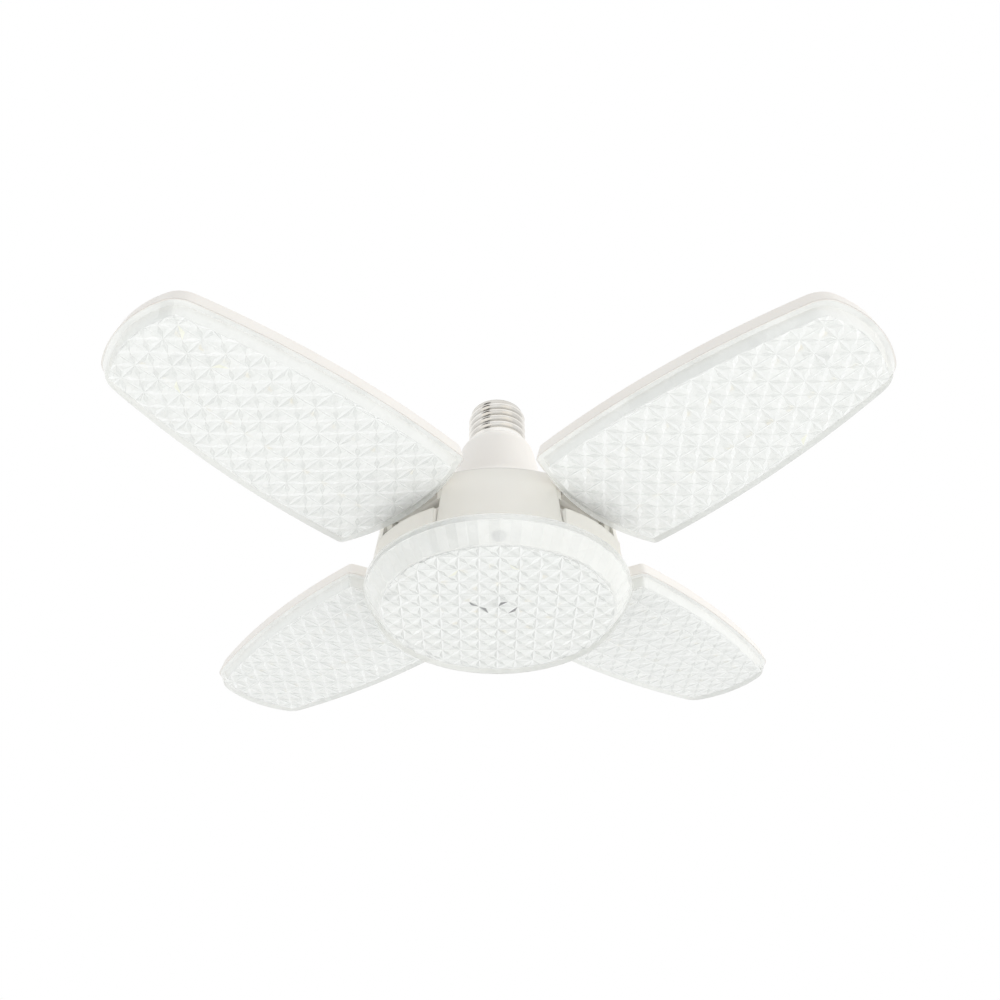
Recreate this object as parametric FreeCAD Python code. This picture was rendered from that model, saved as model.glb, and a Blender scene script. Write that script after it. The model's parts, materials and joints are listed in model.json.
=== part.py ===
# Folding garage lamp with a screw cap, a round lower light and four folding blades.
# Millimetres, +Z up, the origin on the axis where the metal cap leaves the plastic neck.
# The lamp hangs from its cap, with the blades open and each at its own slight tilt.
import FreeCAD
import Part
import math
import os

V = FreeCAD.Vector
UP = V(0, 0, 1)
ORIGIN = V(0, 0, 0)

# ---- driving dimensions -------------------------------------------------------------
# screw cap, of the common 27 mm size
cap_thread_radius = 13.15
cap_skirt_radius = 13.0
cap_skirt_length = 4.0
cap_thread_pitch = 3.62
cap_thread_turns = 4
cap_thread_depth = 1.1
cap_top_height = 22.0
cap_top_radius = 11.4
cap_wall = 0.5
insulator_height = 3.6
insulator_top_radius = 5.6
insulator_depth = 2.0
contact_radius = 4.8
contact_height = 1.6
contact_flat_radius = 1.2
contact_stem_radius = 1.5

# neck and shoulder
neck_top_radius = 14.7
neck_shoulder_radius = 17.0
neck_shoulder_drop = 4.5
neck_base_radius = 20.8
neck_length = 24.0
shoulder_rise_radius = 34.0
shoulder_flat_radius = 43.0
shoulder_edge_rise = 1.3
neck_collar_bore = 8.0

# hub
hub_top_radius = 51.0
hub_foot_radius = 54.3
hub_top_drop = 51.4
hub_foot_drop = 77.2
hub_wall = 2.0
notch_half_width = 17.0
notch_back = 36.2

# hinges
hinge_radius = 44.0
hinge_drop = 55.0
barrel_radius = 4.1
knuckle_half_width = 12.4
pin_radius = 1.6
pin_clearance = 0.06
washer_thickness = 0.8
washer_radius = 3.5
washer_gap = 0.15
arm_overlap = 3.0
pin_end_inset = 0.3

# blades
blade_names = ("right", "rear", "left", "front")
rest_tilts = (3.4, 2.7, -0.4, 2.5)
blade_hinge_offset = 11.3
blade_length = 119.0
inner_half_width = 36.6
outer_half_width = 24.8
side_bulge = 4.8
outer_bulge = 6.1
inner_bulge = 6.7
parting_drop = 3.6
housing_height = 6.35
housing_wall = 1.6
housing_draft = 1.3
housing_edge_round = 1.1
blade_outer_round = 11.0
blade_inner_round = 2.8
blade_least_round = 1.0
lens_lip = 0.35
lens_draft = 1.9
lens_depth = 6.1
lens_wall = 1.5
lens_face = 2.0
lens_edge_round = 1.4
lens_seat = 0.1

# prisms on the inner side of the lenses
prism_depth = 1.25
prism_land = 0.16
blade_prism_pitch = 9.2
blade_prism_rows = 6
blade_prism_margin = 4.1
prism_rim = 0.3
disc_prism_pitch = 8.0
disc_prism_margin = 1.1

# light boards and chips
blade_board_inset = 4.2
blade_board_thickness = 1.0
blade_board_recess = 0.4
board_post_radius = 3.0
board_post_spacing = 44.0
board_screw_radius = 1.2
screw_head_radius = 2.4
screw_head_height = 1.1
chip_length = 3.5
chip_width = 2.8
chip_height = 0.7
blade_chip_rows = 2
blade_chip_row_share = 0.5
blade_chip_columns = 12
blade_chip_margin = 9.0
disc_chip_rings = ((12.5, 8), (26.0, 14))

# lower round light
pan_thickness = 2.0
pan_wall_step = 0.4
pan_wall_thickness = 1.8
pan_wall_height = 7.6
pan_wall_gap = 0.35
disc_lens_radius = 56.0
disc_lens_face_radius = 50.6
disc_lens_height = 12.0
disc_lens_wall = 1.0
disc_lens_face = 2.4
disc_lens_round = 3.0
disc_rim_gap = 0.1
disc_flute_count = 40
disc_flute_depth = 0.75
disc_board_radius = 38.5
disc_board_thickness = 1.2
centre_screw_radius = 1.5
centre_screw_head = 3.6
pan_screw_circle = 44.5
pan_screw_radius = 1.5
pan_screw_length = 9.0
pan_boss_radius = 3.6
pan_boss_height = 12.0
pan_boss_rib = 2.0
pan_screw_head = 2.9

# driver
driver_board_radius = 29.0
driver_board_thickness = 1.6
standoff_height = 3.4
standoff_radius = 3.0
standoff_circle = 23.0
capacitor_radius = 5.0
capacitor_length = 13.0
transformer_length = 16.0
transformer_width = 13.0
transformer_height = 11.0
transformer_core_width = 7.0
choke_radius = 5.5
choke_height = 8.0
rectifier_length = 9.0
rectifier_width = 4.0
rectifier_height = 6.5
lead_radius = 0.7
lead_spread = 3.0
capacitor_place = (-14.0, 8.0)
transformer_place = (8.0, -10.0)
choke_place = (10.0, 13.0)
rectifier_place = (-17.0, -14.0)

# ---- places worked out from the sizes above ------------------------------------------
hinge_z = -hinge_drop
blade_corner_radius = hinge_radius + blade_hinge_offset
parting_z = hinge_z - parting_drop
housing_top_z = parting_z + housing_height
lens_face_z = parting_z - lens_depth
blade_start = blade_corner_radius
blade_end = blade_corner_radius + blade_length
lug_inner = knuckle_half_width + washer_gap + washer_thickness
hub_top_z = -hub_top_drop
hub_foot_z = -hub_foot_drop
pan_radius = disc_lens_radius - disc_lens_wall - disc_rim_gap
pan_wall_radius = pan_radius + pan_wall_step
pan_bottom_z = hub_foot_z - pan_thickness
disc_board_z = pan_bottom_z - disc_board_thickness
disc_face_z = hub_foot_z - disc_lens_height
driver_board_z = hub_foot_z + standoff_height
driver_top_z = driver_board_z + driver_board_thickness


# ---- small helpers -------------------------------------------------------------------
def box(x0, x1, y0, y1, z0, z1):
    return Part.makeBox(x1 - x0, y1 - y0, z1 - z0, V(x0, y0, z0))


def rod(radius, z0, z1, x=0.0, y=0.0):
    return Part.makeCylinder(radius, z1 - z0, V(x, y, z0), UP)


def crossRod(radius, y0, y1, x, z):
    return Part.makeCylinder(radius, y1 - y0, V(x, y0, z), V(0, 1, 0))


def line(a, b):
    return Part.makeLine(a, b)


def arc(a, middle, b):
    return Part.Arc(a, middle, b).toShape()


def turned(edges):
    face = Part.Face(Part.Wire(edges))
    return face.revolve(ORIGIN, UP, 360)


def turnedOutline(points):
    corners = [V(r, 0, z) for r, z in points]
    corners.append(corners[0])
    return turned([line(a, b) for a, b in zip(corners, corners[1:])])


def aroundAxis(shape, angle):
    copy = shape.copy()
    copy.rotate(ORIGIN, UP, angle)
    return copy


def fourTimes(shape):
    return [aroundAxis(shape, 90 * i) for i in range(4)]


def save(name, shape):
    if isinstance(shape, (list, tuple)):
        shape = Part.makeCompound(list(shape))
    shape.exportStep("parts/" + name + ".step")
    print(name, len(shape.Solids), round(shape.Volume, 1), shape.isValid())


# ---- screw cap -------------------------------------------------------------------------
def capShell():
    """A thin drawn shell with a plain skirt, rolled thread rings and a turned-in top."""
    thread_start = cap_skirt_length
    crest = cap_thread_radius
    root = crest - cap_thread_depth
    half = cap_thread_pitch / 2
    edges = [line(V(cap_skirt_radius, 0, 0), V(cap_skirt_radius, 0, thread_start))]
    last = V(cap_skirt_radius, 0, thread_start)
    first_root = V(root, 0, thread_start + cap_thread_depth)
    edges.append(line(last, first_root))
    last = first_root
    for turn in range(cap_thread_turns):
        low = last.z
        top = V(root, 0, low + cap_thread_pitch)
        edges.append(arc(last, V(crest, 0, low + half), top))
        last = top
    shoulder = V(cap_top_radius, 0, cap_top_height)
    edges.append(line(last, shoulder))
    inner_top = V(insulator_top_radius + cap_wall, 0, cap_top_height)
    inner_drop = V(insulator_top_radius + cap_wall, 0, cap_top_height - cap_wall)
    bore_radius = root - cap_wall
    bore_top = V(bore_radius, 0, cap_top_height - 2 * cap_thread_depth)
    bore_foot = V(bore_radius, 0, 0)
    corners = [shoulder, inner_top, inner_drop, V(cap_top_radius - cap_wall, 0, inner_drop.z)]
    corners += [bore_top, bore_foot, V(cap_skirt_radius, 0, 0)]
    edges += [line(a, b) for a, b in zip(corners, corners[1:])]
    return turned(edges)


def capInsulator():
    seat = insulator_top_radius + cap_wall
    rim = cap_top_radius - 2 * cap_wall
    top = cap_top_height + insulator_height
    points = [(contact_stem_radius, cap_top_height - insulator_depth)]
    points += [(seat - 2 * cap_wall, cap_top_height - insulator_depth)]
    points += [(seat - cap_wall / 2, cap_top_height), (rim, cap_top_height)]
    points += [(insulator_top_radius, top), (contact_stem_radius, top)]
    return turnedOutline(points)


def capContact():
    base = cap_top_height + insulator_height
    foot = cap_top_height - insulator_depth
    face = base + contact_height
    edges = [line(V(0, 0, foot), V(contact_stem_radius, 0, foot)),
             line(V(contact_stem_radius, 0, foot), V(contact_stem_radius, 0, base)),
             line(V(contact_stem_radius, 0, base), V(contact_radius, 0, base)),
             arc(V(contact_radius, 0, base), V(contact_radius * 0.8, 0, base + contact_height * 0.62),
                 V(contact_flat_radius, 0, face)),
             line(V(contact_flat_radius, 0, face), V(0, 0, face)),
             line(V(0, 0, face), V(0, 0, foot))]
    return turned(edges)


# ---- neck and hub ------------------------------------------------------------------------
def bodySolid(inset):
    """The neck, shoulder and hub as one turned form, drawn in by a wall."""
    top = -inset
    foot = hub_foot_z
    neck_foot = V(neck_base_radius - inset, 0, -neck_length)
    rise = V(shoulder_rise_radius - inset, 0, (-neck_length + hub_top_z) / 2 - 2.5 * inset)
    flat_z = hub_top_z + shoulder_edge_rise - inset
    flat = V(shoulder_flat_radius - inset, 0, flat_z)
    edge = V(hub_top_radius - shoulder_edge_rise - inset, 0, flat_z)
    rim = V(hub_top_radius - inset, 0, hub_top_z - inset)
    corner = V((edge.x + 2 * rim.x) / 3, 0, (2 * edge.z + rim.z) / 3)
    shoulder = V(neck_shoulder_radius - inset, 0, -neck_shoulder_drop)
    start = V(neck_top_radius - inset, 0, top)
    round_mid = V((start.x + shoulder.x) / 2, 0, (2 * start.z + shoulder.z) / 3)
    sweep = Part.BSplineCurve()
    sweep.interpolate(Points=[neck_foot, rise, flat], Tangents=[V(0.15, 0, -1), V(1, 0, -1.0), V(1, 0, -0.1)],
                      TangentFlags=[True, False, True])
    edges = [line(V(0, 0, top), start), arc(start, round_mid, shoulder), line(shoulder, neck_foot),
             sweep.toShape(), line(flat, edge), arc(edge, corner, rim),
             line(rim, V(hub_foot_radius - inset, 0, foot)),
             line(V(hub_foot_radius - inset, 0, foot), V(0, 0, foot)),
             line(V(0, 0, foot), V(0, 0, top))]
    return turned(edges)


def notch(wall):
    """The slot for one hinge, on the +X side, grown by a wall for its lining."""
    half = notch_half_width + wall
    return box(notch_back - wall, hub_foot_radius + 2, -half, half, hub_foot_z - 1, 0)


def hingeLug(side):
    """One cheek of a hinge, from the slot's side wall in to the washer."""
    y0 = lug_inner
    y1 = notch_half_width
    if side < 0:
        y0, y1 = -y1, -y0
    cheek = crossRod(barrel_radius, y0, y1, hinge_radius, hinge_z)
    web = box(notch_back, hinge_radius, y0, y1, hinge_z - 3 * barrel_radius, hinge_z)
    brace = box(hinge_radius - barrel_radius, hinge_radius + barrel_radius, y0, y1,
                hinge_z - barrel_radius * 1.6, hinge_z)
    return cheek.fuse([web, brace])


def bodyParts():
    outer = bodySolid(0)
    core = bodySolid(hub_wall)
    foot_opening = rod(hub_foot_radius - hub_wall, hub_foot_z - 1, hub_foot_z + 1)
    core = core.fuse(foot_opening)
    core = core.cut(fourTimes(notch(hub_wall)))
    body = outer.cut(fourTimes(notch(0)))
    body = body.cut([core, rod(neck_collar_bore, -hub_wall - 1, 1)])
    split = 200.0
    upper = body.common(box(-split, split, -split, split, hub_top_z, 1))
    lower = body.common(box(-split, split, -split, split, hub_foot_z - 1, hub_top_z))
    lugs = []
    for side in (1, -1):
        lugs += fourTimes(hingeLug(side))
    lower = lower.fuse(lugs)
    bosses = []
    for i in range(4):
        x, y = pointOnCircle(pan_screw_circle, 45 + 90 * i)
        bosses.append(rod(pan_boss_radius, hub_foot_z, hub_foot_z + pan_boss_height, x, y))
        rib = box(pan_screw_circle, hub_foot_radius - hub_wall / 2, -pan_boss_rib / 2, pan_boss_rib / 2,
                  hub_foot_z, hub_foot_z + pan_boss_height)
        bosses.append(aroundAxis(rib.common(outer), 45 + 90 * i))
    lower = lower.fuse(bosses)
    reach = notch_half_width + hub_wall - pin_end_inset
    holes = fourTimes(crossRod(pin_radius, -reach, reach, hinge_radius, hinge_z))
    for i in range(4):
        x, y = pointOnCircle(pan_screw_circle, 45 + 90 * i)
        holes.append(rod(pan_screw_radius, hub_foot_z - 1, hub_foot_z + pan_screw_length, x, y))
    lower = lower.cut(holes).removeSplitter()
    return upper.removeSplitter(), lower


def pointOnCircle(radius, angle):
    return radius * math.cos(math.radians(angle)), radius * math.sin(math.radians(angle))


# ---- blades --------------------------------------------------------------------------------
def bladeWire(inset, z):
    """The blade's plan: four arcs between four corners, drawn in by an inset."""
    x0 = blade_start + inset
    x1 = blade_end - inset
    wide = inner_half_width - inset
    slim = outer_half_width - inset
    a, b = V(x0, -wide, z), V(x1, -slim, z)
    c, d = V(x1, slim, z), V(x0, wide, z)
    middle = (x0 + x1) / 2
    side = (wide + slim) / 2 + side_bulge
    edges = [arc(a, V(middle, -side, z), b), arc(b, V(x1 + outer_bulge, 0, z), c),
             arc(c, V(middle, side, z), d), arc(d, V(x0 - inner_bulge, 0, z), a)]
    return Part.Wire(edges)


def bladeSolid(inset_low, z_low, inset_high, z_high, tighter):
    """The blade's plan as a solid, with its corner rounds made smaller by the last size."""
    solid = Part.makeLoft([bladeWire(inset_low, z_low), bladeWire(inset_high, z_high)], True, True)
    upright = [e for e in solid.Edges if e.BoundBox.ZLength > 0.9 * (z_high - z_low)]
    middle = (blade_start + blade_end) / 2
    outer = [e for e in upright if e.BoundBox.XMin > middle]
    solid = solid.makeFillet(blade_outer_round - tighter, outer)
    upright = [e for e in solid.Edges if e.BoundBox.ZLength > 0.9 * (z_high - z_low)]
    inner = [e for e in upright if e.BoundBox.XMax < middle - blade_length / 4]
    return solid.makeFillet(max(blade_inner_round - tighter, blade_least_round), inner)


def flatEdges(shape, z):
    return [e for e in shape.Edges if e.BoundBox.ZLength < 1e-4 and abs(e.BoundBox.ZMin - z) < 1e-4]


def boardPosts():
    middle = (blade_start + blade_end) / 2
    return [middle - board_post_spacing, middle + board_post_spacing]


def bladeHousing():
    outer = bladeSolid(0, parting_z, housing_draft, housing_top_z, 0)
    outer = outer.makeFillet(housing_edge_round, flatEdges(outer, housing_top_z))
    roof = housing_top_z - housing_wall
    hollow = bladeSolid(housing_wall, parting_z, housing_wall + housing_draft, roof, housing_wall)
    shell = outer.cut(hollow)
    board_top = parting_z + blade_board_recess + blade_board_thickness
    posts = [rod(board_post_radius, board_top, roof, x) for x in boardPosts()]
    ledge = bladeSolid(housing_wall - 0.2, board_top, housing_wall - 0.1, roof, housing_wall)
    ledge = ledge.cut(bladeSolid(blade_board_inset + 0.9, board_top, blade_board_inset + 1.0, roof,
                                 blade_board_inset))
    shell = shell.fuse(posts + [ledge])
    barrel = crossRod(barrel_radius, -knuckle_half_width, knuckle_half_width, hinge_radius, hinge_z)
    arm_end = blade_start - inner_bulge + arm_overlap
    arm = box(hinge_radius, arm_end, -knuckle_half_width, knuckle_half_width,
              parting_z, housing_top_z - housing_edge_round)
    arm = arm.cut(hollow)
    shell = shell.fuse([barrel, arm])
    bore = crossRod(pin_radius + pin_clearance, -2 * knuckle_half_width, 2 * knuckle_half_width,
                    hinge_radius, hinge_z)
    holes = [rod(board_screw_radius, board_top - 1, roof - 0.2, x) for x in boardPosts()]
    return shell.cut([bore] + holes).removeSplitter()


def prismPyramid(corners, z, depth):
    """A four-sided pocket with its base on the lens's inner face and its tip in the lens."""
    base = [V(x, y, z) for x, y in corners]
    tip = V(sum(p.x for p in base) / 4, sum(p.y for p in base) / 4, z - depth)
    faces = [Part.Face(Part.makePolygon(base + [base[0]]))]
    for a, b in zip(base, base[1:] + base[:1]):
        faces.append(Part.Face(Part.makePolygon([a, b, tip, a])))
    return Part.makeSolid(Part.makeShell(faces))


def bladePrisms(z):
    """Rows of pockets that narrow with the blade towards its outer end."""
    start = blade_start - inner_bulge * 0.2
    columns = int((blade_end + outer_bulge - start) / blade_prism_pitch) + 1
    pockets = []

    def rowPlace(x, row):
        share = (x - blade_start) / blade_length
        half = inner_half_width + (outer_half_width - inner_half_width) * share
        bulge = side_bulge * 4 * share * (1 - share)
        return (half + bulge - blade_prism_margin) * (2 * row / blade_prism_rows - 1)

    inset = lens_lip + lens_draft + lens_wall + prism_rim
    inside = Part.Face(bladeWire(inset, z))
    limit = bladeSolid(inset, z - 2 * prism_depth, inset, z + 1, lens_wall)
    for column in range(columns):
        x0 = start + column * blade_prism_pitch + prism_land
        x1 = start + (column + 1) * blade_prism_pitch - prism_land
        for row in range(blade_prism_rows):
            corners = [(x0, rowPlace(x0, row) + prism_land), (x1, rowPlace(x1, row) + prism_land),
                       (x1, rowPlace(x1, row + 1) - prism_land), (x0, rowPlace(x0, row + 1) - prism_land)]
            within = [inside.isInside(V(x, y, z), 1e-4, True) for x, y in corners]
            pocket = prismPyramid(corners, z, prism_depth)
            if all(within):
                pockets.append(pocket)
            elif any(within):
                pockets += pocket.common(limit).Solids
    return pockets


def bladeLens():
    top = parting_z - lens_seat
    inner_z = lens_face_z + lens_face
    outer = bladeSolid(lens_lip + lens_draft, lens_face_z, lens_lip, top, 0)
    outer = outer.makeFillet(lens_edge_round, flatEdges(outer, lens_face_z))
    inset_low = lens_lip + lens_draft + lens_wall
    hollow = bladeSolid(inset_low, inner_z, lens_lip + lens_wall, top + 1, lens_wall)
    return outer.cut(hollow).cut(bladePrisms(inner_z))


def bladeBoard():
    low = parting_z + blade_board_recess
    plate = bladeSolid(blade_board_inset, low, blade_board_inset, low + blade_board_thickness,
                       blade_board_inset)
    return plate.cut([rod(board_screw_radius, low - 1, low + 2, x) for x in boardPosts()])


def bladeScrews():
    low = parting_z + blade_board_recess
    board_top = low + blade_board_thickness
    screws = []
    for x in boardPosts():
        head = rod(screw_head_radius, low - screw_head_height, low, x)
        shank = rod(board_screw_radius, low, board_top + 1.5, x)
        screws.append(head.fuse(shank).removeSplitter())
    return screws


def chip(x, y, z_top, angle):
    part = box(-chip_length / 2, chip_length / 2, -chip_width / 2, chip_width / 2, -chip_height, 0)
    part.rotate(ORIGIN, UP, angle)
    part.translate(V(x, y, z_top))
    return part


def bladeChips():
    z = parting_z + blade_board_recess
    first = blade_start + blade_chip_margin
    step = (blade_length - 2 * blade_chip_margin) / (blade_chip_columns - 1)
    chips = []
    for column in range(blade_chip_columns):
        x = first + column * step
        share = (x - blade_start) / blade_length
        half = inner_half_width + (outer_half_width - inner_half_width) * share - blade_board_inset
        for row in range(blade_chip_rows):
            side = 2 * row / (blade_chip_rows - 1) - 1
            chips.append(chip(x, side * half * blade_chip_row_share, z, 0))
    return chips


def hingePin():
    reach = notch_half_width + hub_wall - pin_end_inset
    return crossRod(pin_radius, -reach, reach, hinge_radius, hinge_z)


def hingeWashers():
    washers = []
    for y0 in (lug_inner - washer_thickness, -lug_inner):
        ring = crossRod(washer_radius, y0, y0 + washer_thickness, hinge_radius, hinge_z)
        hole = crossRod(pin_radius, y0 - 1, y0 + washer_thickness + 1, hinge_radius, hinge_z)
        washers.append(ring.cut(hole))
    return washers


def placedOnBlade(shape, index, tilts):
    """Turns a piece drawn on the +X side about its hinge, then to its own side."""
    copy = shape.copy()
    if tilts:
        copy.rotate(V(hinge_radius, 0, hinge_z), V(0, -1, 0), rest_tilts[index])
    copy.rotate(ORIGIN, UP, 90 * index)
    return copy


def saveBlades():
    swinging = (("housing", bladeHousing()), ("lens", bladeLens()), ("light_board", bladeBoard()),
                ("light_chips", Part.makeCompound(bladeChips())),
                ("board_screws", Part.makeCompound(bladeScrews())))
    fixed = (("hinge_pin", hingePin()), ("hinge_washers", Part.makeCompound(hingeWashers())))
    for index, name in enumerate(blade_names):
        for kind, shape in swinging:
            save(name + "_blade_" + kind, placedOnBlade(shape, index, True))
        for kind, shape in fixed:
            save(name + "_" + kind, placedOnBlade(shape, index, False))


# ---- lower round light ------------------------------------------------------------------------
def discPan():
    plate = rod(pan_radius, pan_bottom_z, hub_foot_z)
    ring = rod(pan_wall_radius, hub_foot_z, hub_foot_z + pan_wall_height)
    ring = ring.cut(rod(pan_wall_radius - pan_wall_thickness, hub_foot_z - 1, 0))
    half = notch_half_width - pan_wall_gap
    sector = box(notch_back, pan_wall_radius + 1, -half, half, hub_foot_z, hub_foot_z + pan_wall_height)
    walls = [ring.common(aroundAxis(sector, 90 * i)) for i in range(4)]
    posts = []
    holes = [rod(centre_screw_radius, pan_bottom_z - 1, hub_foot_z + 2)]
    for i in range(4):
        x, y = pointOnCircle(standoff_circle, 45 + 90 * i)
        posts.append(rod(standoff_radius, hub_foot_z, driver_board_z, x, y))
        x, y = pointOnCircle(pan_screw_circle, 45 + 90 * i)
        holes.append(rod(pan_screw_radius, pan_bottom_z - 1, hub_foot_z + 1, x, y))
    return plate.fuse(walls + posts).cut(holes).removeSplitter()


def discLens():
    top = hub_foot_z - disc_rim_gap
    outer_points = [(0, top), (disc_lens_radius, top), (disc_lens_radius, top - pan_thickness),
                    (disc_lens_face_radius, disc_face_z), (0, disc_face_z)]
    outer = turnedOutline(outer_points)
    outer = outer.makeFillet(disc_lens_round, flatRing(outer, disc_face_z, disc_lens_face_radius))
    inner_z = disc_face_z + disc_lens_face
    bore = disc_lens_radius - disc_lens_wall
    low_bore = disc_lens_face_radius - disc_lens_wall
    seat = rod(bore, top - pan_thickness, top + 1)
    hollow = Part.makeLoft([flutedWire(low_bore, inner_z), flutedWire(bore, top - pan_thickness)], True, True)
    reach = low_bore - disc_flute_depth - disc_prism_margin
    return outer.cut([seat, hollow]).cut(discPrisms(inner_z, reach))


def flutedWire(radius, z):
    """A ring of shallow points, which makes upright flutes on the inside of the wall."""
    points = []
    for i in range(2 * disc_flute_count):
        x, y = pointOnCircle(radius - disc_flute_depth * (i % 2), 180.0 * i / disc_flute_count)
        points.append(V(x, y, z))
    return Part.makePolygon(points + [points[0]])


def flatRing(shape, z, radius):
    rings = flatEdges(shape, z)
    return [e for e in rings if abs(e.BoundBox.XMax - radius) < 1e-3]


def discPrisms(z, reach):
    """Square pockets over the round face, set diagonally to the blades."""
    count = int(reach / disc_prism_pitch) + 1
    limit = rod(reach, z - 2 * prism_depth, z + 1)
    pockets = []
    for i in range(-count, count):
        for j in range(-count, count):
            x0 = i * disc_prism_pitch + prism_land
            y0 = j * disc_prism_pitch + prism_land
            size = disc_prism_pitch - 2 * prism_land
            corners = [(x0, y0), (x0 + size, y0), (x0 + size, y0 + size), (x0, y0 + size)]
            radii = [math.hypot(x, y) for x, y in corners]
            if min(radii) > reach - 0.35 * disc_prism_pitch:
                continue
            pocket = prismPyramid(corners, z, prism_depth)
            if max(radii) > reach:
                pocket = pocket.common(limit)
            pockets += [aroundAxis(solid, 45) for solid in pocket.Solids]
    return pockets


def discBoard():
    plate = rod(disc_board_radius, disc_board_z, pan_bottom_z)
    return plate.cut(rod(centre_screw_radius, disc_board_z - 1, pan_bottom_z + 1))


def discChips():
    chips = []
    for radius, count in disc_chip_rings:
        for i in range(count):
            angle = 360.0 * i / count
            x, y = pointOnCircle(radius, angle)
            chips.append(chip(x, y, disc_board_z, angle))
    return chips


def centreScrew():
    head = rod(centre_screw_head, disc_board_z - 2 * screw_head_height, disc_board_z)
    shank = rod(centre_screw_radius, disc_board_z, hub_foot_z + 2)
    return head.fuse(shank).removeSplitter()


def panScrews():
    screws = []
    for i in range(4):
        x, y = pointOnCircle(pan_screw_circle, 45 + 90 * i)
        head = rod(pan_screw_head, pan_bottom_z - screw_head_height, pan_bottom_z, x, y)
        shank = rod(pan_screw_radius, pan_bottom_z, hub_foot_z + pan_screw_length, x, y)
        screws.append(head.fuse(shank).removeSplitter())
    return screws


# ---- driver -------------------------------------------------------------------------------------
def driverBoard():
    return rod(driver_board_radius, driver_board_z, driver_top_z)


def driverCapacitor():
    can = rod(capacitor_radius, driver_top_z, driver_top_z + capacitor_length, *capacitor_place)
    return can.makeFillet(0.8, [e for e in can.Edges if e.BoundBox.ZMin > driver_top_z + 1
                                and e.BoundBox.ZLength < 1e-4])


def driverTransformer():
    coil = box(-transformer_length / 2, transformer_length / 2, -transformer_width / 2, transformer_width / 2,
               driver_top_z + 1, driver_top_z + transformer_height - 1)
    core = box(-transformer_length / 2 - 1.5, transformer_length / 2 + 1.5, -transformer_core_width / 2,
               transformer_core_width / 2, driver_top_z, driver_top_z + transformer_height)
    part = coil.fuse(core)
    part.translate(V(*transformer_place, 0))
    return part


def driverChoke():
    ring = rod(choke_radius, driver_top_z, driver_top_z + choke_height, *choke_place)
    return ring.cut(rod(choke_radius / 3, driver_top_z + 1, driver_top_z + choke_height + 1, *choke_place))


def driverRectifier():
    x, y = rectifier_place
    return box(x, x + rectifier_width, y, y + rectifier_length, driver_top_z, driver_top_z + rectifier_height)


def supplyLeads():
    leads = []
    top = cap_top_height - insulator_depth
    for side in (-1, 1):
        leads.append(rod(lead_radius, driver_top_z, top - 0.3, side * lead_spread, 0))
    return leads


def main():
    os.makedirs("parts", exist_ok=True)
    neck, hub = bodyParts()
    save("e27_cap_shell", capShell())
    save("cap_insulator", capInsulator())
    save("cap_contact", capContact())
    save("neck_housing", neck)
    save("hub_housing", hub)
    save("disc_pan", discPan())
    save("disc_lens", discLens())
    save("disc_light_board", discBoard())
    save("disc_light_chips", discChips())
    save("centre_screw", centreScrew())
    save("pan_screws", panScrews())
    save("driver_board", driverBoard())
    save("driver_capacitor", driverCapacitor())
    save("driver_transformer", driverTransformer())
    save("driver_choke", driverChoke())
    save("driver_rectifier", driverRectifier())
    save("supply_leads", supplyLeads())
    saveBlades()


main()
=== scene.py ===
import json
import math
import bpy
from mathutils import Matrix, Vector


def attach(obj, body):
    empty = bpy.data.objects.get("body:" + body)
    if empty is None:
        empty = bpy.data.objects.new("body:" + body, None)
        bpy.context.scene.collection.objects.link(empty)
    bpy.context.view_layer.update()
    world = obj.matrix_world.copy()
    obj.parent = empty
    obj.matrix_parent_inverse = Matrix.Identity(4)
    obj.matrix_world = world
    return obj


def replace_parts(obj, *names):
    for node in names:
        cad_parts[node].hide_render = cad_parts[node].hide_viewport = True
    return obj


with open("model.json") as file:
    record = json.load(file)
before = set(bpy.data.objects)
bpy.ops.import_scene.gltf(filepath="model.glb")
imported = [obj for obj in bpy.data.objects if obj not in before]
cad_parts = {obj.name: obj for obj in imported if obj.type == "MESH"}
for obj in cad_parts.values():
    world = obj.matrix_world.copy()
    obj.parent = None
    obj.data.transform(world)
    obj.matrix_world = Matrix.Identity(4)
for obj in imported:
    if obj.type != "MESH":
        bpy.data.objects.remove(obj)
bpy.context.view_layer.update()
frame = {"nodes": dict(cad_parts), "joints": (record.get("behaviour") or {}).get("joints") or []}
cadNodes = frame["nodes"]
sides = ["right", "rear", "left", "front"]  # each blade is a quarter turn on from the one before
hinges = {joint["child"]: joint for joint in frame["joints"]}
mm = 0.001  # pieces are measured in millimetres; materials, lights and views in metres
print("frame loaded with", len(cadNodes), "nodes")


class Socket:
    def __init__(self, graph, socket):
        self.graph = graph
        self.socket = socket

    def __add__(self, other):
        return self.graph.maths(self, other, "ADD")

    def __radd__(self, other):
        return self.graph.maths(other, self, "ADD")

    def __sub__(self, other):
        return self.graph.maths(self, other, "SUBTRACT")

    def __rsub__(self, other):
        return self.graph.maths(other, self, "SUBTRACT")

    def __mul__(self, other):
        return self.graph.maths(self, other, "MULTIPLY")

    def __rmul__(self, other):
        return self.graph.maths(other, self, "MULTIPLY")


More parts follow.
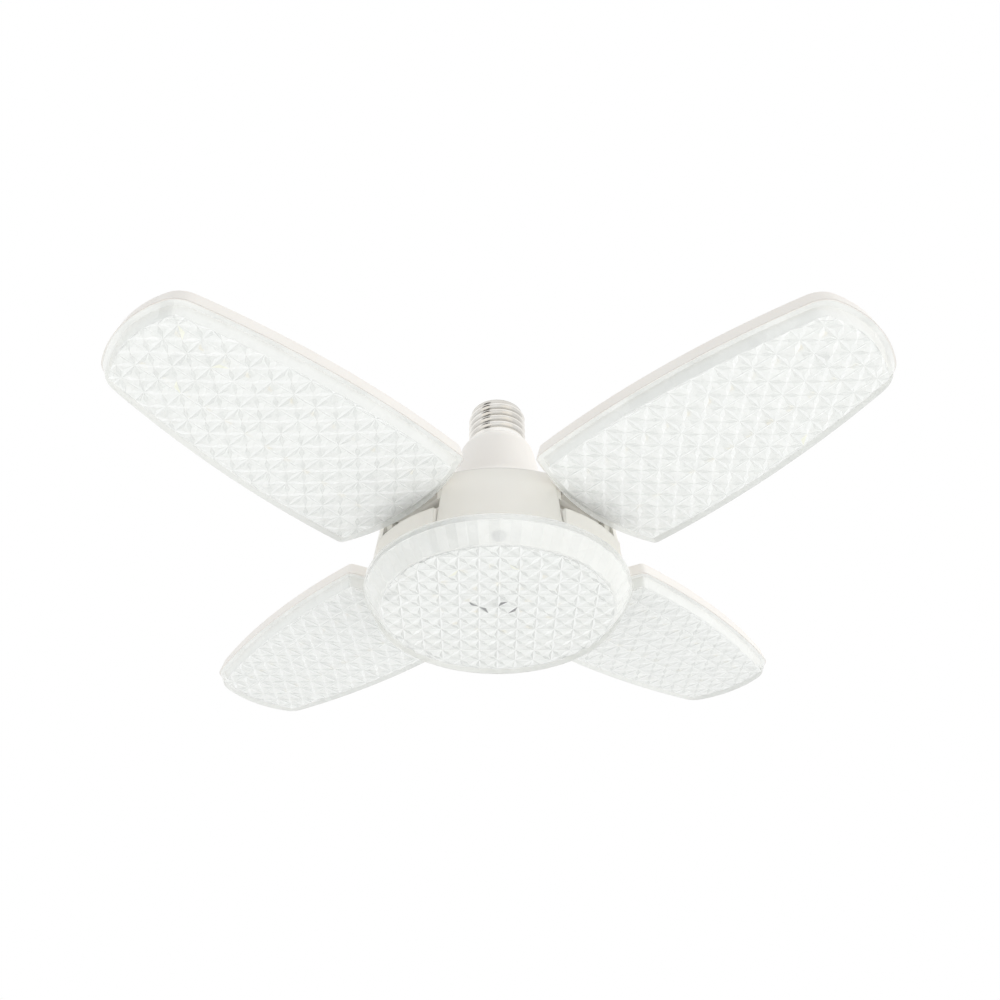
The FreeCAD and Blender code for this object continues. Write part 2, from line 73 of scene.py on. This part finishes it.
class Graph:
    def __init__(self, owner):
        owner.use_nodes = True
        self.owner = owner
        self.tree = owner.node_tree
        self.tree.nodes.clear()

    def feed(self, socket, value):
        # a value is a link from another node, a number or a colour
        if isinstance(value, Socket):
            self.tree.links.new(value.socket, socket)
            return
        if socket.type == "RGBA" and len(value) == 3:
            value = (*value, 1.0)
        socket.default_value = value

    def add(self, kind, settings, values, output=0):
        node = self.tree.nodes.new(kind)
        for key, value in settings.items():
            setattr(node, key, value)
        for key, value in values.items():
            self.feed(node.inputs[key], value)
        return Socket(self, node.outputs[output]) if node.outputs else None

    def maths(self, a, b, operation):
        return self.add("ShaderNodeMath", {"operation": operation}, {0: a, 1: b})

    def vector(self, operation, values, output=0):
        return self.add("ShaderNodeVectorMath", {"operation": operation}, values, output)

    def mix(self, factor, a, b):
        # 6 and 7 are the node's two colours, and 2 is the colour that it gives
        return self.add("ShaderNodeMix", {"data_type": "RGBA"}, {0: factor, 6: a, 7: b}, 2)

    def remap(self, value, band, toLow, toHigh):
        return self.add("ShaderNodeMapRange", {}, {
            "Value": value, "From Min": band[0], "From Max": band[1], "To Min": toLow, "To Max": toHigh})

    def noise(self, scale, detail):
        place = self.add("ShaderNodeTexCoord", {}, {}, "Object")
        return self.add("ShaderNodeTexNoise", {}, {"Vector": place, "Scale": scale, "Detail": detail}, "Fac")

    def bump(self, height, distance, strength, normal=None):
        values = {"Height": height, "Distance": distance, "Strength": strength}
        if normal:
            values["Normal"] = normal
        return self.add("ShaderNodeBump", {}, values)

    def ray(self, kind):
        return self.add("ShaderNodeLightPath", {}, {}, kind)

    def principled(self, values):
        return self.add("ShaderNodeBsdfPrincipled", {}, values)

    def mixShader(self, factor, a, b):
        return self.add("ShaderNodeMixShader", {}, {0: factor, 1: a, 2: b})

    def finish(self, shader, kind="ShaderNodeOutputMaterial"):
        self.add(kind, {}, {"Surface": shader})
        return self.owner


# the part of a noise's values that a material spreads over its own range
softBand = (0.3, 0.7)
crispBand = (0.35, 0.65)
lateBand = (0.35, 0.7)
hazeBand = (0.4, 0.7)
white = (1.0, 1.0, 1.0)
metalBumps = 0.5  # how strong the fine bumps look
plainBumps = 0.4
plainSpread = 0.06  # how far a plain surface's roughness strays to either side


def newMaterial(name):
    return Graph(bpy.data.materials.new(name))


def lightPasses(g, surface, clear):
    # soft light and shadows go straight through a clear piece, so the board behind it stays lit
    passing = g.maths(g.ray("Is Shadow Ray"), g.ray("Is Diffuse Ray"), "MAXIMUM")
    return g.mixShader(passing, surface, g.add("ShaderNodeBsdfTransparent", {}, {"Color": clear}))


def whitePlastic(name, settings):
    g = newMaterial(name)
    mottle = g.noise(settings["mottleScale"], detail=3.0)
    grain = g.noise(settings["grainScale"], detail=2.0)
    scuff = g.noise(settings["scuffScale"], detail=5.0)
    edge = g.add("ShaderNodeBevel", {"samples": 4}, {"Radius": settings["edgeRadius"]})
    return g.finish(g.principled({
        "Base Color": g.mix(g.remap(mottle, lateBand, 0.0, 1.0), settings["shade"], settings["colour"]),
        "Roughness": g.remap(scuff, crispBand, *settings["rough"]),
        "Normal": g.bump(grain, settings["grainDepth"], settings["grainStrength"], edge),
        "IOR": settings["index"], "Subsurface Weight": settings["scatter"],
        "Subsurface Radius": settings["scatterRadius"]}))


def clearPlastic(name, settings):
    g = newMaterial(name)
    haze = g.noise(settings["hazeScale"], detail=4.0)
    wave = g.noise(settings["waveScale"], detail=1.0)
    cloud = g.noise(settings["cloudScale"], detail=1.0)
    ripple = g.bump(wave, settings["waveDepth"], settings["waveStrength"])
    # seen from outside: a clear skin that mirrors the room a little
    gloss = g.add("ShaderNodeBsdfGlossy", {}, {
        "Color": white, "Roughness": g.remap(haze, hazeBand, *settings["rough"]), "Normal": ripple})
    clear = g.add("ShaderNodeBsdfTransparent", {}, {"Color": settings["clear"]})
    mirror = g.add("ShaderNodeFresnel", {}, {"IOR": settings["index"], "Normal": ripple})
    skin = g.mixShader(mirror, clear, gloss)
    # seen through that skin: the inner faces, with walls that face one way painted darker, as painted shade
    facing = g.add("ShaderNodeTexCoord", {}, {}, "Normal")
    upright = g.maths(g.add("ShaderNodeSeparateXYZ", {}, {"Vector": facing}, "Z"), 0.0, "ABSOLUTE")
    paintedShadeLean = g.vector("DOT_PRODUCT", {0: facing, 1: settings["paintedShadeAlong"]}, "Value")
    wall = g.remap(upright, settings["wallBand"], 1.0, 0.0)
    tone = g.remap(cloud + paintedShadeLean * wall, softBand, 0.0, 1.0)
    # the pockets' sloped faces fade, because the prism sheet shows them
    share = settings["pocketShare"]
    fadeIn = g.remap(upright, settings["slopeBand"], 1.0, share)
    fadeOut = g.remap(upright, settings["levelBand"], share, 1.0)
    cover = g.remap(haze, softBand, *settings["cover"]) * g.maths(fadeIn, fadeOut, "MAXIMUM")
    facet = g.principled({
        "Base Color": g.mix(tone, settings["dark"], settings["bright"]),
        "Roughness": g.remap(cloud, crispBand, *settings["facetRough"]),
        "Alpha": cover, "IOR": settings["index"]})
    inside = g.add("ShaderNodeNewGeometry", {}, {}, "Backfacing")
    return g.finish(lightPasses(g, g.mixShader(inside, skin, facet), settings["clear"]))


def metal(name, settings):
    g = newMaterial(name)
    smear = g.noise(settings["smearScale"], detail=4.0)
    speck = g.noise(settings["speckScale"], detail=2.0)
    colour = g.mix(g.remap(smear, lateBand, 0.0, 1.0), settings["shade"], settings["colour"])
    if "grooveBand" in settings:
        # the thread's grooves, told by their distance from the axis, are painted darker, as painted shade
        place = g.add("ShaderNodeTexCoord", {}, {}, "Object")
        level = g.vector("MULTIPLY", {0: place, 1: (1.0, 1.0, 0.0)})
        radius = g.vector("LENGTH", {0: level}, "Value")
        deep = g.remap(radius, settings["grooveBand"], settings["grooveShadeShare"], 0.0)
        colour = g.mix(deep, colour, settings["grooveShadeColour"])
    return g.finish(g.principled({
        "Base Color": colour, "Roughness": g.remap(smear, softBand, *settings["rough"]),
        "Normal": g.bump(speck, settings["depth"], metalBumps), "Metallic": 1.0}))


def plain(name, settings):
    g = newMaterial(name)
    speck = g.noise(settings["scale"], detail=3.0)
    rough = settings["rough"]
    return g.finish(g.principled({
        "Base Color": g.mix(g.remap(speck, crispBand, 0.0, 1.0), settings["shade"], settings["colour"]),
        "Roughness": g.remap(speck, softBand, rough - plainSpread, rough + plainSpread),
        "Normal": g.bump(speck, settings["depth"], plainBumps)}))


def dress(name, material):
    slots = cadNodes[name].data.materials
    slots.clear()
    slots.append(material)


housingWhite = whitePlastic("housingWhite", {
    "colour": (0.86, 0.84, 0.80), "shade": (0.83, 0.80, 0.755), "rough": (0.30, 0.42), "mottleScale": 22.0,
    "grainScale": 1700.0, "scuffScale": 90.0, "edgeRadius": 0.0004, "grainDepth": 0.00003,
    "grainStrength": 0.35, "index": 1.5, "scatter": 0.05, "scatterRadius": (0.003, 0.0025, 0.002)})
hubWhite = whitePlastic("hubWhite", {
    "colour": (0.85, 0.84, 0.79), "shade": (0.82, 0.80, 0.745), "rough": (0.36, 0.48), "mottleScale": 26.0,
    "grainScale": 1500.0, "scuffScale": 110.0, "edgeRadius": 0.0006, "grainDepth": 0.00003,
    "grainStrength": 0.4, "index": 1.5, "scatter": 0.05, "scatterRadius": (0.003, 0.0025, 0.002)})
# the lens: its walls get painted shade by which way they face, along the lean direction
lensClear = clearPlastic("lensClear", {
    "clear": (0.985, 0.99, 0.985), "index": 1.5, "rough": (0.02, 0.07), "hazeScale": 70.0, "waveScale": 60.0,
    "waveDepth": 0.0003, "waveStrength": 0.12, "cloudScale": 90.0, "paintedShadeAlong": (0.8, 0.45, 0.0),
    "dark": (0.86, 0.87, 0.86), "bright": (0.97, 0.975, 0.965), "facetRough": (0.08, 0.3),
    "cover": (0.72, 0.88),
    # how upright a face's normal is: walls, the pockets' slopes, and what lies flat between the pockets
    "wallBand": (0.6, 0.8), "slopeBand": (0.85, 0.92), "levelBand": (0.985, 0.995), "pocketShare": 0.15})
boardWhite = plain("boardWhite", {
    "colour": (0.88, 0.885, 0.87), "shade": (0.84, 0.845, 0.83), "scale": 160.0,
    "rough": 0.4, "depth": 0.00003})
screwSteel = metal("screwSteel", {
    "colour": (0.42, 0.42, 0.43), "shade": (0.28, 0.28, 0.29), "rough": (0.25, 0.4), "smearScale": 300.0,
    "speckScale": 2500.0, "depth": 0.00002})
washerPlastic = plain("washerPlastic", {
    "colour": (0.52, 0.51, 0.47), "shade": (0.44, 0.43, 0.40), "scale": 400.0,
    "rough": 0.5, "depth": 0.00004})
# the cap's insulator and contact, and what the hub holds
smallPieces = {
    "cap_insulator": {"colour": (0.03, 0.028, 0.03), "shade": (0.015, 0.014, 0.016), "scale": 240.0,
                      "rough": 0.15, "depth": 0.00002},
    "cap_contact": {"colour": (0.62, 0.60, 0.56), "shade": (0.45, 0.44, 0.41), "scale": 500.0,
                    "rough": 0.35, "depth": 0.0001},
    "driver_board": {"colour": (0.30, 0.22, 0.08), "shade": (0.25, 0.18, 0.06), "scale": 200.0,
                     "rough": 0.5, "depth": 0.00003},
    "driver_capacitor": {"colour": (0.03, 0.035, 0.05), "shade": (0.02, 0.022, 0.03), "scale": 220.0,
                         "rough": 0.35, "depth": 0.00003},
    "driver_transformer": {"colour": (0.70, 0.50, 0.10), "shade": (0.60, 0.42, 0.08), "scale": 150.0,
                           "rough": 0.4, "depth": 0.0001},
    "driver_choke": {"colour": (0.05, 0.045, 0.045), "shade": (0.03, 0.03, 0.03), "scale": 400.0,
                     "rough": 0.6, "depth": 0.0001},
    "driver_rectifier": {"colour": (0.02, 0.02, 0.02), "shade": (0.03, 0.03, 0.03), "scale": 500.0,
                         "rough": 0.45, "depth": 0.00003},
    "supply_leads": {"colour": (0.45, 0.02, 0.015), "shade": (0.38, 0.015, 0.01), "scale": 300.0,
                     "rough": 0.4, "depth": 0.00003}}
bladePieces = {
    "_blade_housing": housingWhite, "_blade_lens": lensClear, "_blade_light_board": boardWhite,
    "_blade_board_screws": screwSteel, "_hinge_pin": screwSteel, "_hinge_washers": washerPlastic}
hubPieces = {
    "neck_housing": housingWhite, "hub_housing": hubWhite, "disc_pan": hubWhite, "disc_lens": lensClear,
    "disc_light_board": boardWhite, "centre_screw": screwSteel, "pan_screws": screwSteel}

for name, material in hubPieces.items():
    dress(name, material)
for name, settings in smallPieces.items():
    dress(name, plain(name, settings))
for side in sides:
    for ending, material in bladePieces.items():
        dress(side + ending, material)
print("materials on the frame")


def addPiece(name, points, faces, materials, body, tones=None):
    mesh = bpy.data.meshes.new(name)
    mesh.from_pydata([tuple(p) for p in points], [], faces)
    for material in materials:
        mesh.materials.append(material)
    for i, polygon in enumerate(mesh.polygons):
        polygon.use_smooth = tones is None
        if tones:
            polygon.material_index = tones[i]
    mesh.update()
    piece = bpy.data.objects.new(name, mesh)
    bpy.context.scene.collection.objects.link(piece)
    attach(piece, body)
    return piece


capNickel = metal("capNickel", {
    "colour": (0.95, 0.935, 0.90), "shade": (0.83, 0.80, 0.75), "rough": (0.14, 0.26), "smearScale": 120.0,
    "speckScale": 1400.0, "depth": 0.00002,
    # the grooves' colour and its share are painted shade
    "grooveBand": (0.01205, 0.01245), "grooveShadeShare": 0.6, "grooveShadeColour": (0.40, 0.38, 0.34)})
# the cap in millimetres: radii, and heights above the neck
capSettings = {
    "crest": 13.15, "root": 12.0, "pitch": 3.62, "crestPower": 0.85, "hollow": 0.25, "around": 144,
    "threadFrom": 3.0, "threadEnd": 20.0, "threadRows": 116, "fadeIn": (3.4, 5.6), "fadeOut": (18.4, 20.0),
    "drawIn": (3.0, 4.6),
    "skirt": 13.0, "wall": 0.5, "footBevel": (0.15, 0.25), "skirtStep": 2 / 3, "skirtRows": 4,
    "rootFoot": 4.0, "rootTop": 19.5, "topUnder": 21.4, "topRadius": 11.4, "holeRadius": 6.1,
    # steps away from the root, the top and the hole, each with its height
    "shoulder": ((0.22, 20.4), (0.1, 21.0)), "crown": ((0.25, 21.55), (-0.2, 21.9), (-0.8, 22.0)),
    "lip": ((0.5, 22.0), (0.0, 21.8), (0.0, 21.4))}


def smoothStep(value, low, high):
    share = min(1.0, max(0.0, (value - low) / (high - low)))
    return share * share * (3 - 2 * share)


def capProfile(s):
    # rows of radius, height and how much of the thread shows there, up the outside and down the inside
    inset, rise = s["footBevel"]
    rows = [(s["skirt"] - s["wall"], 0.0, 0.0), (s["skirt"] - inset, 0.0, 0.0), (s["skirt"], rise, 0.0)]
    rows += [(s["skirt"], s["skirtStep"] * (i + 1), 0.0) for i in range(s["skirtRows"])]
    span = s["threadEnd"] - s["threadFrom"]
    for i in range(s["threadRows"] + 1):
        z = s["threadFrom"] + span * i / s["threadRows"]
        weight = smoothStep(z, *s["fadeIn"]) * (1 - smoothStep(z, *s["fadeOut"]))
        base = s["skirt"] + (s["root"] + s["hollow"] - s["skirt"]) * smoothStep(z, *s["drawIn"])
        rows.append((base, z, weight))
    for radius, steps in (("root", "shoulder"), ("topRadius", "crown"), ("holeRadius", "lip")):
        rows += [(s[radius] + step, z, 0.0) for step, z in s[steps]]
    for radius, height in (("topRadius", "topUnder"), ("root", "rootTop"), ("root", "rootFoot")):
        rows.append((s[radius] - s["wall"], s[height], 0.0))
    return rows


def makeCap(s):
    rows = capProfile(s)
    count = s["around"]
    points = []
    for base, z, weight in rows:
        for i in range(count):
            angle = 2 * math.pi * i / count
            # the crest climbs by one pitch in a turn
            crest = (1 + math.cos(2 * math.pi * z / s["pitch"] - angle)) / 2
            radius = base + weight * ((s["crest"] - s["root"]) * crest ** s["crestPower"] - s["hollow"])
            points.append(Vector((radius * math.cos(angle), radius * math.sin(angle), z)) * mm)
    faces = []
    for row in range(len(rows)):
        here, after = row * count, (row + 1) % len(rows) * count
        for i in range(count):
            j = (i + 1) % count
            faces.append((here + i, here + j, after + j, after + i))
    return addPiece("screwCapShell", points, faces, [capNickel], "lamp_body")


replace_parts(makeCap(capSettings), "e27_cap_shell")
print("screw cap threaded")


# the outline of a level blade on +X: it narrows from its inner to its outer end, with bulging sides and ends
bladeForm = {"start": 55.3, "length": 119.0, "inner": 36.6, "outer": 24.8, "bulge": 4.8, "innerBulge": 6.7,
             "outerBulge": 6.1}
lowestTilt = -5.0  # degrees, where every hinge stops, just below level


def bladeMatrix(side):
    # turns a level blade on +X round to its side, and tilts it to where it rests
    hinge = hinges[side + "_blade"]
    place = Vector(hinge["pos_m"])
    restTilt = math.radians(lowestTilt - hinge["range_deg"][0])
    tilt = Matrix.Rotation(restTilt, 4, Vector(hinge["axis"]))
    turn = Matrix.Rotation(math.radians(90 * sides.index(side)), 4, "Z")
    return Matrix.Translation(place) @ tilt @ Matrix.Translation(-place) @ turn


def taperedHalf(share):
    return bladeForm["inner"] + (bladeForm["outer"] - bladeForm["inner"]) * share


chipFrame = plain("chipFrame", {
    "colour": (0.86, 0.85, 0.80), "shade": (0.80, 0.79, 0.73), "scale": 900.0,
    "rough": 0.45, "depth": 0.00002})
chipYellow = plain("chipYellow", {
    "colour": (0.90, 0.66, 0.05), "shade": (0.82, 0.52, 0.03), "scale": 1400.0,
    "rough": 0.35, "depth": 0.00005})
chipSettings = {"length": 3.5, "width": 2.8, "height": 0.7, "rim": 0.38, "dish": 0.14, "chamfer": 0.12}
bladeChipSettings = {"boardInset": 4.2, "margin": 9.0, "columns": 12, "rowShare": 0.5, "z": -58.2}
discChipSettings = {"rings": ((12.5, 8), (26.0, 14)), "z": -80.4}  # radius and count of each ring


def chipLoops(s):
    x, y, h = s["length"] / 2, s["width"] / 2, s["height"]
    rim, dish, cut = s["rim"], s["dish"], s["chamfer"]
    # how far each loop is drawn in, and its height: side, chamfer, rim and the window's sloped edge
    steps = [(0, 0.0), (0, cut - h), (cut, -h), (rim, -h), (rim + dish, dish - h)]
    corners = ((-1, -1), (1, -1), (1, 1), (-1, 1))
    return [[((x - inset) * u, (y - inset) * v, z) for u, v in corners] for inset, z in steps]


def makeChips(name, places, body, node):
    loops = chipLoops(chipSettings)
    points = []
    faces = []
    tones = []  # 0 for the frame, 1 for the yellow window
    for matrix in places:
        start = len(points)
        for loop in loops:
            points += [matrix @ (Vector(p) * mm) for p in loop]
        for row in range(len(loops) - 1):
            low = start + row * 4
            for i in range(4):
                j = (i + 1) % 4
                faces.append((low + j, low + i, low + 4 + i, low + 4 + j))
                tones.append(0 if row < len(loops) - 2 else 1)
        last = start + (len(loops) - 1) * 4
        faces += [(last + 3, last + 2, last + 1, last), (start, start + 1, start + 2, start + 3)]
        tones += [1, 0]
    piece = addPiece(name, points, faces, [chipFrame, chipYellow], body, tones)
    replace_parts(piece, node)


def bladeChipPlaces(side):
    s = bladeChipSettings
    step = (bladeForm["length"] - 2 * s["margin"]) / (s["columns"] - 1)
    places = []
    for column in range(s["columns"]):
        along = s["margin"] + column * step
        out = (taperedHalf(along / bladeForm["length"]) - s["boardInset"]) * s["rowShare"]
        for y in (-out, out):
            spot = Vector((bladeForm["start"] + along, y, s["z"])) * mm
            places.append(bladeMatrix(side) @ Matrix.Translation(spot))
    return places


def discChipPlaces():
    places = []
    for radius, count in discChipSettings["rings"]:
        for i in range(count):
            turn = Matrix.Rotation(2 * math.pi * i / count, 4, "Z")
            places.append(turn @ Matrix.Translation(Vector((radius, 0, discChipSettings["z"])) * mm))
    return places


makeChips("discChips", discChipPlaces(), "lamp_body", "disc_light_chips")
for side in sides:
    makeChips(side + "BladeChips", bladeChipPlaces(side), side + "_blade", side + "_blade_light_chips")
print("light chips set")


# the prism sheets: shallow four-sided cells with narrow kites along their creases, painted as glints: bright
# kites are painted highlights, dark ones painted shade
sheetSettings = {"tipDepth": 0.45, "lift": 0.03, "wideEdge": 0.3, "faintEdge": 0.1, "diagonal": 0.3,
                 "marked": 0.5, "leastSize": 0.02, "clear": (0.99, 0.99, 0.99), "rough": (0.1, 0.35),
                 "index": 1.5}
# tones: bright is a painted highlight, dark and soft are painted shade, deep and yellow are painted images
# of the screw and chips behind
sheetTones = {
    "plain": {"colour": (0.95, 0.955, 0.945), "shade": (0.925, 0.93, 0.92), "scale": 110.0,
              "cover": (0.80, 0.92)},
    "bright": {"colour": (1.0, 1.0, 1.0), "shade": (1.0, 1.0, 1.0), "scale": 130.0,
               "cover": (0.85, 1.0)},
    "dark": {"colour": (0.82, 0.83, 0.815), "shade": (0.68, 0.69, 0.68), "scale": 130.0,
             "cover": (0.6, 0.95)},
    "deep": {"colour": (0.22, 0.22, 0.23), "shade": (0.08, 0.08, 0.09), "scale": 200.0,
             "cover": (0.85, 1.0)},
    "yellow": {"colour": (0.99, 0.985, 0.88), "shade": (0.98, 0.97, 0.80), "scale": 200.0,
               "cover": (0.85, 1.0)},
    "soft": {"colour": (0.88, 0.885, 0.875), "shade": (0.80, 0.81, 0.80), "scale": 130.0,
             "cover": (0.6, 0.95)}}
bladeSheetSettings = {"pitch": 9.2, "first": 49.2, "columns": 15, "rows": 4, "z": -62.73, "rim": 4.1,
                      "rowPitch": 11.5, "rowTaper": 0.023, "dark": "soft"}
discSheetSettings = {"across": 8.0, "deep": 9.05, "turn": 45.0, "reach": 48.2, "z": -86.83, "count": 7,
                     "dark": "dark"}
# cells painted with the image of the screw or a chip behind, as the prisms would show it: the cell's column
# and row, then the corner and the tone
paintedImageCells = {
    "disc": {(-2, -1): (2, "deep"), (0, -1): (3, "deep"), (-1, 0): (0, "deep"), (0, 0): (1, "deep"),
             (0, -4): (2, "yellow"), (-3, -3): (1, "yellow")},
    "front": {(10, 1): (1, "yellow"), (12, 1): (2, "yellow"), (11, -1): (0, "yellow")},
    "right": {(9, 2): (3, "yellow")},
    "rear": {},
    "left": {}}


def sheetMaterial(name, settings):
    g = newMaterial(name)
    cloud = g.noise(settings["scale"], detail=2.0)
    surface = g.principled({
        "Base Color": g.mix(g.remap(cloud, softBand, 0.0, 1.0), settings["shade"], settings["colour"]),
        "Roughness": g.remap(cloud, softBand, *sheetSettings["rough"]),
        "Alpha": g.remap(cloud, crispBand, *settings["cover"]), "IOR": sheetSettings["index"]})
    return g.finish(lightPasses(g, surface, sheetSettings["clear"]))


sheetMaterials = [sheetMaterial("sheet" + tone.capitalize(), sheetTones[tone]) for tone in sheetTones]
toneNumbers = {tone: i for i, tone in enumerate(sheetTones)}


def cellShapes(corners, mark, dark):
    s = sheetSettings
    # triangles and their tones: a facet on each side, and painted glints: a kite along it and one along each
    # diagonal
    tip = sum(corners, Vector()) / 4 - Vector((0, 0, s["tipDepth"]))
    drop = Vector((0, 0, -s["lift"]))  # the kites lie just below the facets
    edgeTones = ("bright", dark, dark, "bright")
    shapes = []
    for i in range(4):
        j = (i + 1) % 4
        a, b = corners[i], corners[j]
        middle = (a + b) / 2
        inward = (tip - middle) * s["wideEdge" if i in (1, 3) else "faintEdge"]
        shapes.append(((a, b, tip), "plain"))
        shapes.append(((a + drop, b + drop, middle + inward + drop), edgeTones[i]))
        for corner in (i, j):
            end = corners[corner]
            marked = corner == i and mark and mark[0] == i
            half = (end + tip) / 2
            aside = half + (middle - half) * s["marked" if marked else "diagonal"]
            tone = mark[1] if marked else dark if corner in (0, 2) else "bright"
            shapes.append(((end + drop, tip + drop, aside + drop), tone))
    return shapes


def addSheet(name, shapes, limit, matrix, body):
    points = []
    faces = []
    tones = []
    for triangle, tone in shapes:
        a, b, c = [limit(p) for p in triangle]
        size = (b - a).cross(c - a)
        if size.length < sheetSettings["leastSize"]:
            continue  # it lies past the rim
        start = len(points)
        points += [matrix @ (p * mm) for p in (a, b, c)]
        faces.append((start, start + 1, start + 2) if size.z < 0 else (start, start + 2, start + 1))
        tones.append(toneNumbers[tone])
    addPiece(name, points, faces, sheetMaterials, body, tones)


def bladeLimit(p):
    # draws a point back inside the blade's rim
    f, rim = bladeForm, bladeSheetSettings["rim"]
    share = min(1.0, max(0.0, (p.x - f["start"]) / f["length"]))
    half = taperedHalf(share) + 4 * f["bulge"] * share * (1 - share) - rim
    y = min(half, max(-half, p.y))
    low = f["start"] + rim - f["innerBulge"] * (1 - (y / f["inner"]) ** 2)
    high = f["start"] + f["length"] - rim + f["outerBulge"] * (1 - (y / f["outer"]) ** 2)
    return Vector((min(high, max(low, p.x)), y, p.z))


def bladeShapes(marks):
    s = bladeSheetSettings
    shapes = []
    for column in range(s["columns"]):
        for row in range(-s["rows"], s["rows"]):
            corners = []
            for stepX, stepY in ((0, 0), (1, 0), (1, 1), (0, 1)):
                x = s["first"] + (column + stepX) * s["pitch"]
                y = (row + stepY) * (s["rowPitch"] - s["rowTaper"] * (x - bladeForm["start"]))
                corners.append(Vector((x, y, s["z"])))
            shapes += cellShapes(corners, marks.get((column, row)), s["dark"])
    return shapes


def discLimit(p):
    radius = math.hypot(p.x, p.y)
    share = discSheetSettings["reach"] / radius if radius > discSheetSettings["reach"] else 1.0
    return Vector((p.x * share, p.y * share, p.z))


def discShapes(marks):
    s = discSheetSettings
    turn = Matrix.Rotation(math.radians(s["turn"]), 3, "Z")
    shapes = []
    for i in range(-s["count"], s["count"]):
        for j in range(-s["count"], s["count"]):
            corners = [turn @ Vector(((i + x) * s["across"], (j + y - 0.5) * s["deep"], s["z"]))
                       for x, y in ((0, 0), (1, 0), (1, 1), (0, 1))]
            shapes += cellShapes(corners, marks.get((i, j)), s["dark"])
    return shapes


addSheet("discSheet", discShapes(paintedImageCells["disc"]), discLimit, Matrix.Identity(4), "lamp_body")
for side in sides:
    shapes = bladeShapes(paintedImageCells[side])
    addSheet(side + "BladeSheet", shapes, bladeLimit, bladeMatrix(side), side + "_blade")
print("prism sheets drawn")


viewSettings = {"place": (0.2594, -0.2682, -0.3122), "right": (0.71786, 0.69617, -0.00584),
                "up": (0.42466, -0.43121, 0.79607), "forward": (-0.55167, 0.57395, 0.60518),
                "lens": 37.755, "sensor": 36.0, "farthest": 100.0}
roomSettings = {"colour": (0.985, 0.99, 1.0), "strength": 0.79}
lightAim = (0, 0, -0.04)
lightSettings = {
    "keyRight": {"place": (0.95, 0.55, -0.35), "size": 0.9, "energy": 3.6, "colour": (1.0, 0.985, 0.96)},
    "fillLeft": {"place": (-0.35, -0.85, -0.55), "size": 1.0, "energy": 2.2, "colour": (1.0, 0.99, 0.97)},
    "topFill": {"place": (0.3, 0.2, 1.1), "size": 1.0, "energy": 6.0, "colour": (1.0, 1.0, 1.0)}}
floorPale = plain("floorPale", {
    "colour": (0.95, 0.95, 0.945), "shade": (0.935, 0.935, 0.93), "scale": 3.0,
    "rough": 0.7, "depth": 0.0002})
cardDark = plain("cardDark", {
    "colour": (0.03, 0.028, 0.025), "shade": (0.02, 0.02, 0.02), "scale": 3.0,
    "rough": 0.8, "depth": 0.0002})
floorSettings = {"centre": (0, 0, -0.9), "aim": (0, 0, 1), "wide": 12.0, "tall": 12.0}
cardSettings = {"centre": (0.052, -0.598, -0.1), "aim": (0, 0, 0), "wide": 0.3, "tall": 1.2}


def addCamera(s):
    data = bpy.data.cameras.new("photoView")
    data.lens = s["lens"]
    data.sensor_width = s["sensor"]
    data.clip_end = s["farthest"]
    camera = bpy.data.objects.new("photoView", data)
    axes = Matrix((s["right"], s["up"], [-a for a in s["forward"]])).transposed()
    camera.matrix_world = Matrix.Translation(s["place"]) @ axes.to_4x4()
    bpy.context.scene.collection.objects.link(camera)
    bpy.context.scene.camera = camera


def facingAim(place, aim, axis):
    return (Vector(aim) - Vector(place)).to_track_quat(axis, "Y").to_euler()


def addLight(name, s):
    data = bpy.data.lights.new(name, "AREA")
    data.shape = "DISK"
    data.size = s["size"]
    data.energy = s["energy"]
    data.color = s["colour"]
    light = bpy.data.objects.new(name, data)
    light.location = s["place"]
    light.rotation_euler = facingAim(s["place"], lightAim, "-Z")
    light.visible_glossy = False
    bpy.context.scene.collection.objects.link(light)


def addWorld(s):
    world = bpy.data.worlds.new("softRoom")
    bpy.context.scene.world = world
    g = Graph(world)
    seen = g.maths(g.ray("Is Camera Ray"), g.ray("Is Transmission Ray"), "MAXIMUM")
    seen = g.maths(seen, g.ray("Is Glossy Ray"), "MAXIMUM")
    # the room is plain white where it is seen, and a little dimmer where it lights
    colour = g.mix(seen, s["colour"], white)
    strength = 1 - (1 - seen) * (1 - s["strength"])
    room = g.add("ShaderNodeBackground", {}, {"Color": colour, "Strength": strength})
    g.finish(room, "ShaderNodeOutputWorld")


def addCard(name, s, material):
    x, y = s["wide"] / 2, s["tall"] / 2
    mesh = bpy.data.meshes.new(name)
    mesh.from_pydata([(-x, -y, 0), (x, -y, 0), (x, y, 0), (-x, y, 0)], [], [(0, 1, 2, 3)])
    mesh.materials.append(material)
    card = bpy.data.objects.new(name, mesh)
    card.location = s["centre"]
    card.rotation_euler = facingAim(s["centre"], s["aim"], "Z")
    bpy.context.scene.collection.objects.link(card)
    return card


addCamera(viewSettings)
addWorld(roomSettings)
for name, settings in lightSettings.items():
    addLight(name, settings)
addCard("paleFloor", floorSettings, floorPale)
# a dark card that only shows as a reflection, for the grooves of the screw cap
darkCard = addCard("darkCardLeft", cardSettings, cardDark)
darkCard.visible_camera = False
darkCard.visible_diffuse = False
darkCard.visible_transmission = False
darkCard.visible_shadow = False
bpy.context.scene.view_settings.view_transform = "Standard"
print("camera and lights placed")
